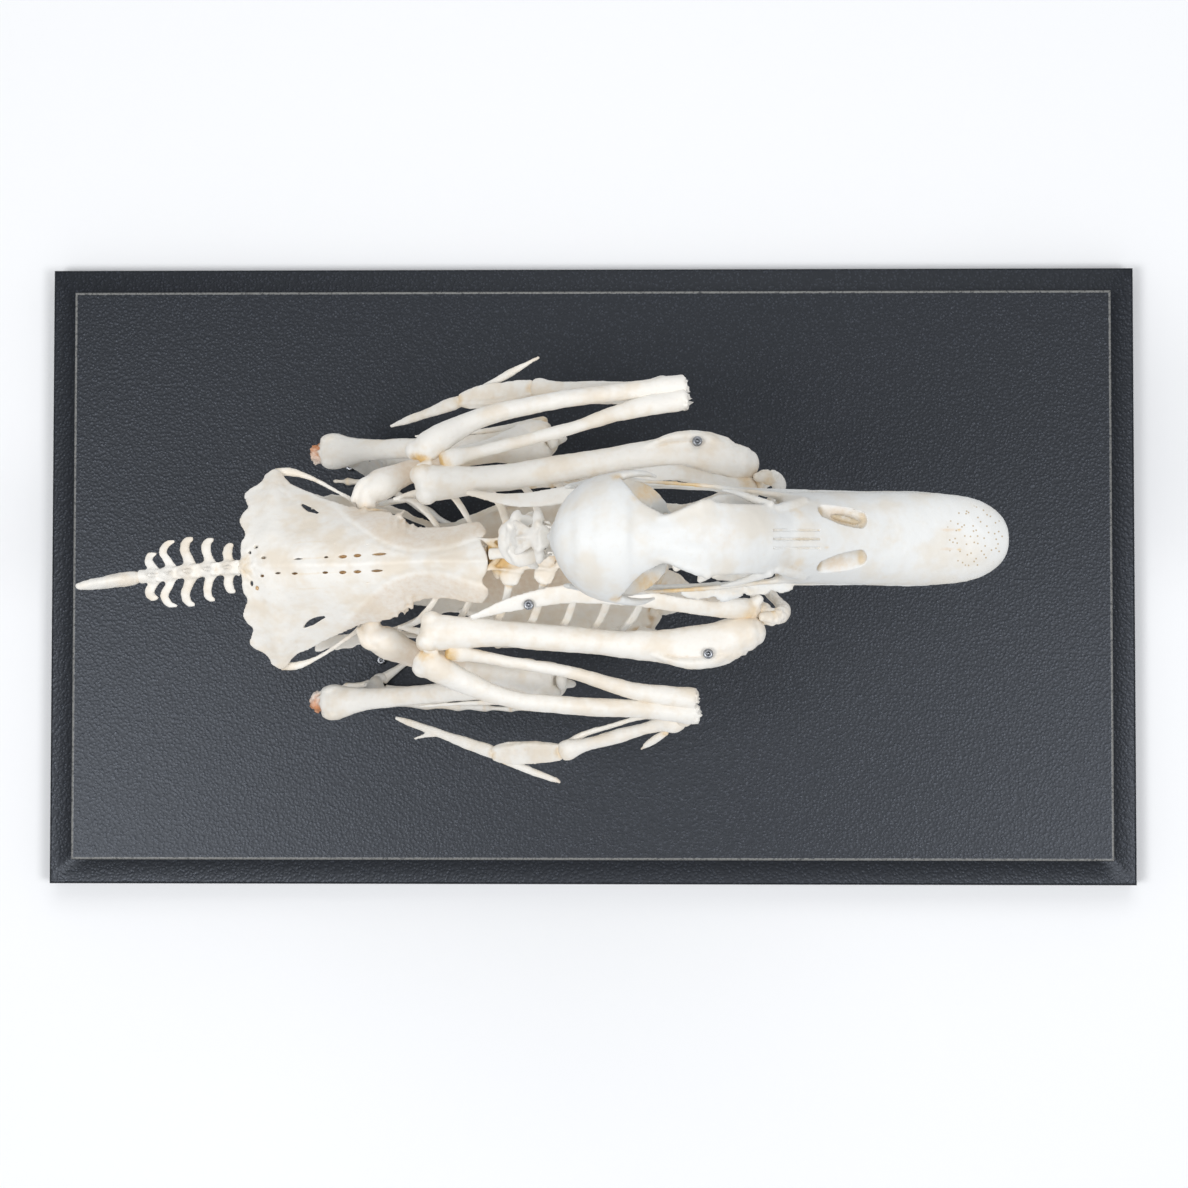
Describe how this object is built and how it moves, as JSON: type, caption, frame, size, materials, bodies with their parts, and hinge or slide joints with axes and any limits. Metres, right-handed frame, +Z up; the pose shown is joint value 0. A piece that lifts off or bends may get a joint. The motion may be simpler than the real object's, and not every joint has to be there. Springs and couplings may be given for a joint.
{
  "type": "mounted duck skeleton",
  "caption": "Life-size articulated duck skeleton standing with folded wings and raised head on a stepped rectangular black display board.",
  "frame": {"origin": "centre of the board's underside", "axes": "+X along the board's long side, the way the bill points; +Y towards the duck's left; +Z up"},
  "size_m": [0.38, 0.216, 0.2884],
  "materials": {
    "bone": "bleached bone, matt to satin, chalky at the worn ends",
    "board": "fibre board with a black pebble-grained coating, semi-matt",
    "pin": "dull bare steel"
  },
  "bodies": {
    "root": {"alula_left": "bone", "alula_right": "bone", "board": "board", "carpals_left": "bone", "carpals_right": "bone", "carpometacarpus_left": "bone", "carpometacarpus_right": "bone", "coracoid_left": "bone", "coracoid_right": "bone", "femur_left": "bone", "femur_right": "bone", "fibula_left": "bone", "fibula_right": "bone", "furcula": "bone", "humerus_left": "bone", "humerus_right": "bone", "mandible": "bone", "minor_digit_left": "bone", "minor_digit_right": "bone", "neck_base": "bone", "neck_lower": "bone", "neck_middle": "bone", "neck_upper": "bone", "patella_left": "bone", "patella_right": "bone", "pelvis": "bone", "pin_foot_left": "pin", "pin_foot_right": "pin", "pin_humerus_left": "pin", "pin_humerus_right": "pin", "pin_scapula_right": "pin", "pygostyle": "bone", "radius_left": "bone", "radius_right": "bone", "rib_cage_left": "bone", "rib_cage_right": "bone", "scapula_left": "bone", "scapula_right": "bone", "skull": "bone", "sternum": "bone", "tail_vertebrae": "bone", "tarsometatarsus_left": "bone", "tarsometatarsus_right": "bone", "thoracic_spine": "bone", "tibiotarsus_left": "bone", "tibiotarsus_right": "bone", "toe_hind_left": "bone", "toe_hind_right": "bone", "toe_inner_left": "bone", "toe_inner_right": "bone", "toe_middle_left": "bone", "toe_middle_right": "bone", "toe_outer_left": "bone", "toe_outer_right": "bone", "ulna_left": "bone", "ulna_right": "bone", "wing_digit_plate_left": "bone", "wing_digit_plate_right": "bone", "wing_digit_tip_left": "bone", "wing_digit_tip_right": "bone"}
  },
  "joints": []
}
